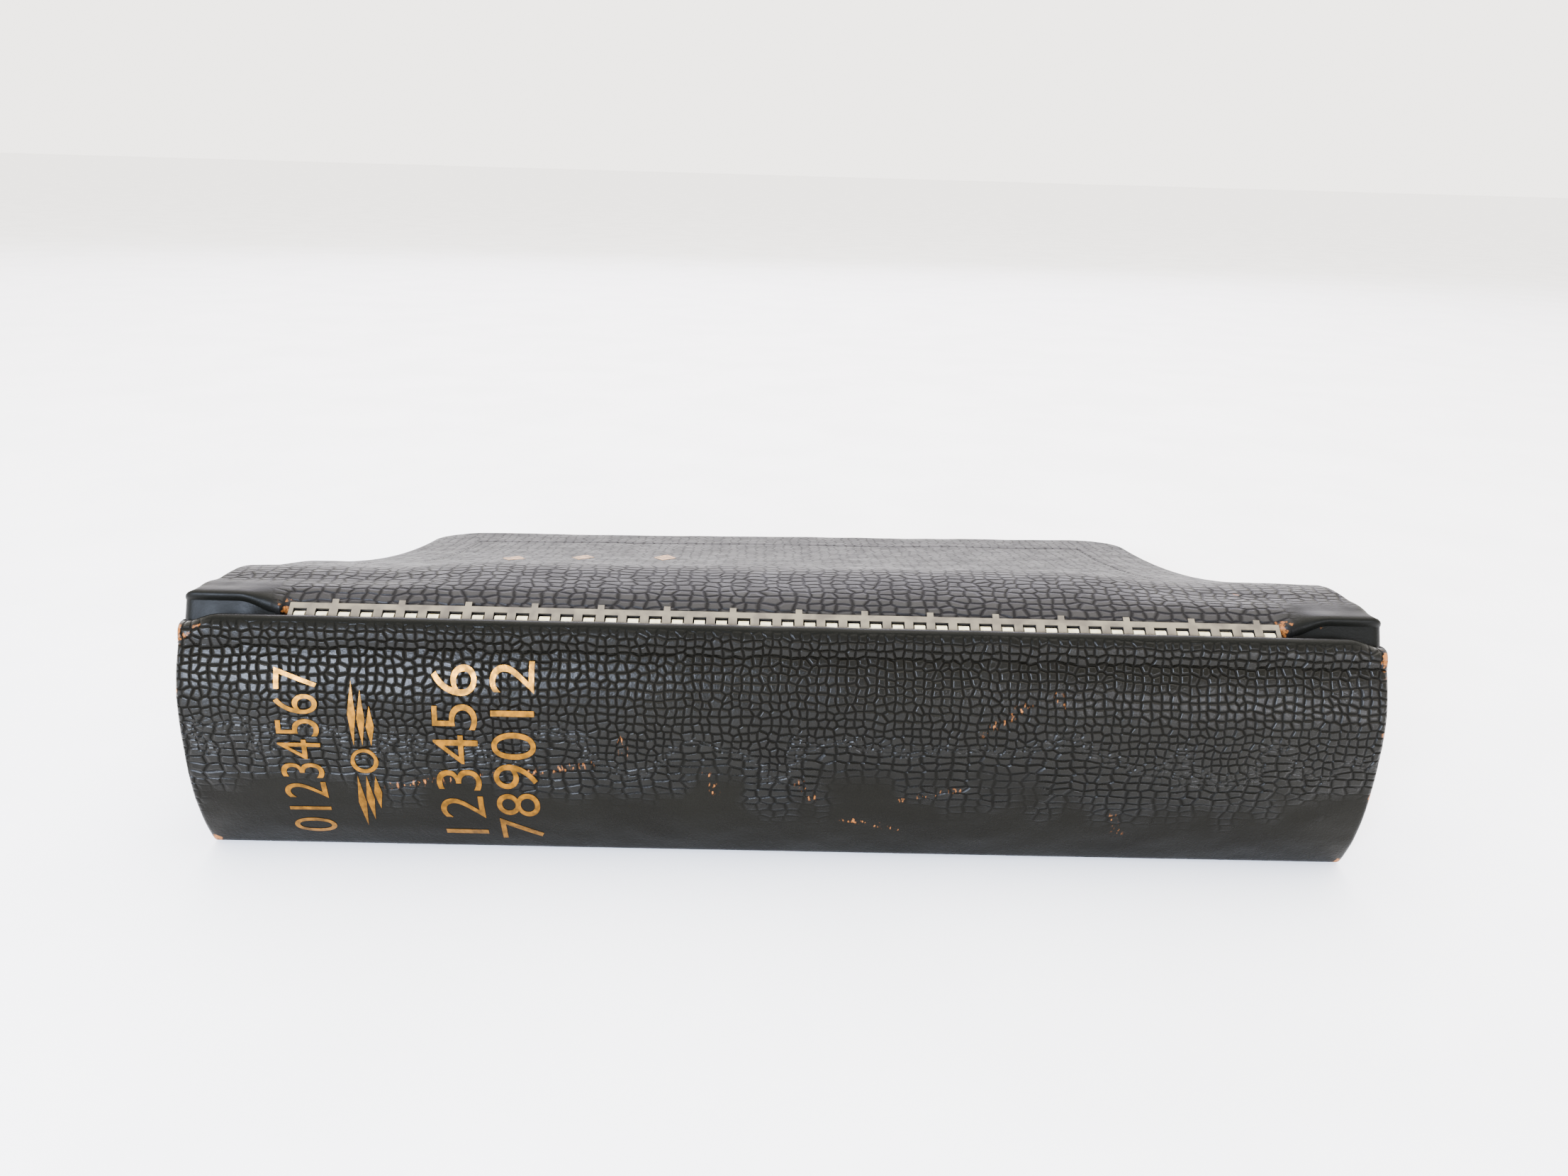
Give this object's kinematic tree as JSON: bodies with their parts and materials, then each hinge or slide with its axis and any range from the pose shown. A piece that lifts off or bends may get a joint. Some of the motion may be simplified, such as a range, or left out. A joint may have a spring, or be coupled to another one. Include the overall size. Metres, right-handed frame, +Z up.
{
  "type": "pilot logbook",
  "caption": "Leather covered loose-leaf ring binder for a pilot's log and airway sheets, with a bowed metal back, two slotted metal hinges and a ring mechanism.",
  "frame": {"origin": "middle of the footprint of the closed binder lying on its back cover, at table height", "axes": "+X along the spine, -Y towards the spine and +Y towards the fore-edge, +Z up"},
  "size_m": [0.241, 0.1882, 0.057],
  "materials": {
    "cover_leather": "embossed grain",
    "spine_leather": "pebbled, waxed",
    "board": "raw",
    "lining": "smooth skiver",
    "hinge_strip": "aged beige enamel",
    "hinge_tabs": "cream enamel",
    "hinge_wire": "drawn",
    "back_steel": "black japanned",
    "mechanism_steel": "nickel plated",
    "ring_wire": "polished nickel",
    "paper": "aged bond paper",
    "divider_card": "manila card",
    "lifter_plastic": "matt black"
  },
  "bodies": {
    "back_cover": {"back_cover_leather": "cover_leather", "back_cover_board": "board", "back_cover_lining": "lining", "back_hinge_strip": "hinge_strip"},
    "spine": {"metal_back": "back_steel", "spine_leather": "spine_leather", "front_hinge_tabs": "hinge_tabs", "back_hinge_tabs": "hinge_tabs", "front_hinge_pin": "hinge_wire", "back_hinge_pin": "hinge_wire", "ring_base_plate": "mechanism_steel", "ring_housing": "mechanism_steel", "mounting_rivets": "mechanism_steel", "lever_pins": "mechanism_steel"},
    "front_cover": {"front_cover_leather": "cover_leather", "front_cover_board": "board", "front_cover_lining": "lining", "front_hinge_strip": "hinge_strip"},
    "lower_rings": {"lower_ring_leaf": "mechanism_steel", "lower_half_rings": "ring_wire"},
    "upper_rings": {"upper_ring_leaf": "mechanism_steel", "upper_half_rings": "ring_wire"},
    "left_lever": {"left_lever": "mechanism_steel"},
    "right_lever": {"right_lever": "mechanism_steel"},
    "front_sheets": {"front_sheets": "paper", "front_sheet_lifter": "lifter_plastic"},
    "back_sheets": {"back_sheets": "paper", "index_divider": "divider_card", "back_sheet_lifter": "lifter_plastic"}
  },
  "joints": [
    {"name": "spine_hinge", "type": "hinge", "parent": "back_cover", "child": "spine", "pos_m": [0, -0.08388, 0.0023], "axis": [1, 0, 0], "range_deg": [0, 70]},
    {"name": "front_hinge", "type": "hinge", "parent": "spine", "child": "front_cover", "pos_m": [0, -0.08388, 0.0506], "axis": [1, 0, 0], "range_deg": [0, 126]},
    {"name": "rings_open", "type": "hinge", "parent": "spine", "child": "lower_rings", "pos_m": [0, -0.08217, 0.0135], "axis": [-1, 0, 0], "range_deg": [0, 7]},
    {"name": "upper_rings_open", "type": "hinge", "parent": "spine", "child": "upper_rings", "pos_m": [0, -0.08217, 0.0385], "axis": [1, 0, 0], "range_deg": [0, 7]},
    {"name": "left_lever_press", "type": "hinge", "parent": "spine", "child": "left_lever", "pos_m": [-0.10775, -0.08128, 0.026], "axis": [0, 0, 1], "range_deg": [0, 24.5]},
    {"name": "right_lever_press", "type": "hinge", "parent": "spine", "child": "right_lever", "pos_m": [0.10775, -0.08128, 0.026], "axis": [0, 0, -1], "range_deg": [0, 24.5]},
    {"name": "front_sheets_turn", "type": "hinge", "parent": "spine", "child": "front_sheets", "pos_m": [0, -0.06588, 0.026], "axis": [1, 0, 0], "range_deg": [0, 120]},
    {"name": "back_sheets_turn", "type": "hinge", "parent": "spine", "child": "back_sheets", "pos_m": [0, -0.06588, 0.026], "axis": [1, 0, 0], "range_deg": [-70, 0]}
  ],
  "couplings": [
    {"joint": "upper_rings_open", "follows": "rings_open", "ratio": 1},
    {"joint": "left_lever_press", "follows": "rings_open", "ratio": 3.5},
    {"joint": "right_lever_press", "follows": "rings_open", "ratio": 3.5},
    {"joint": "front_sheets_turn", "follows": "front_hinge", "ratio": 0.94},
    {"joint": "back_sheets_turn", "follows": "spine_hinge", "ratio": -0.98}
  ]
}
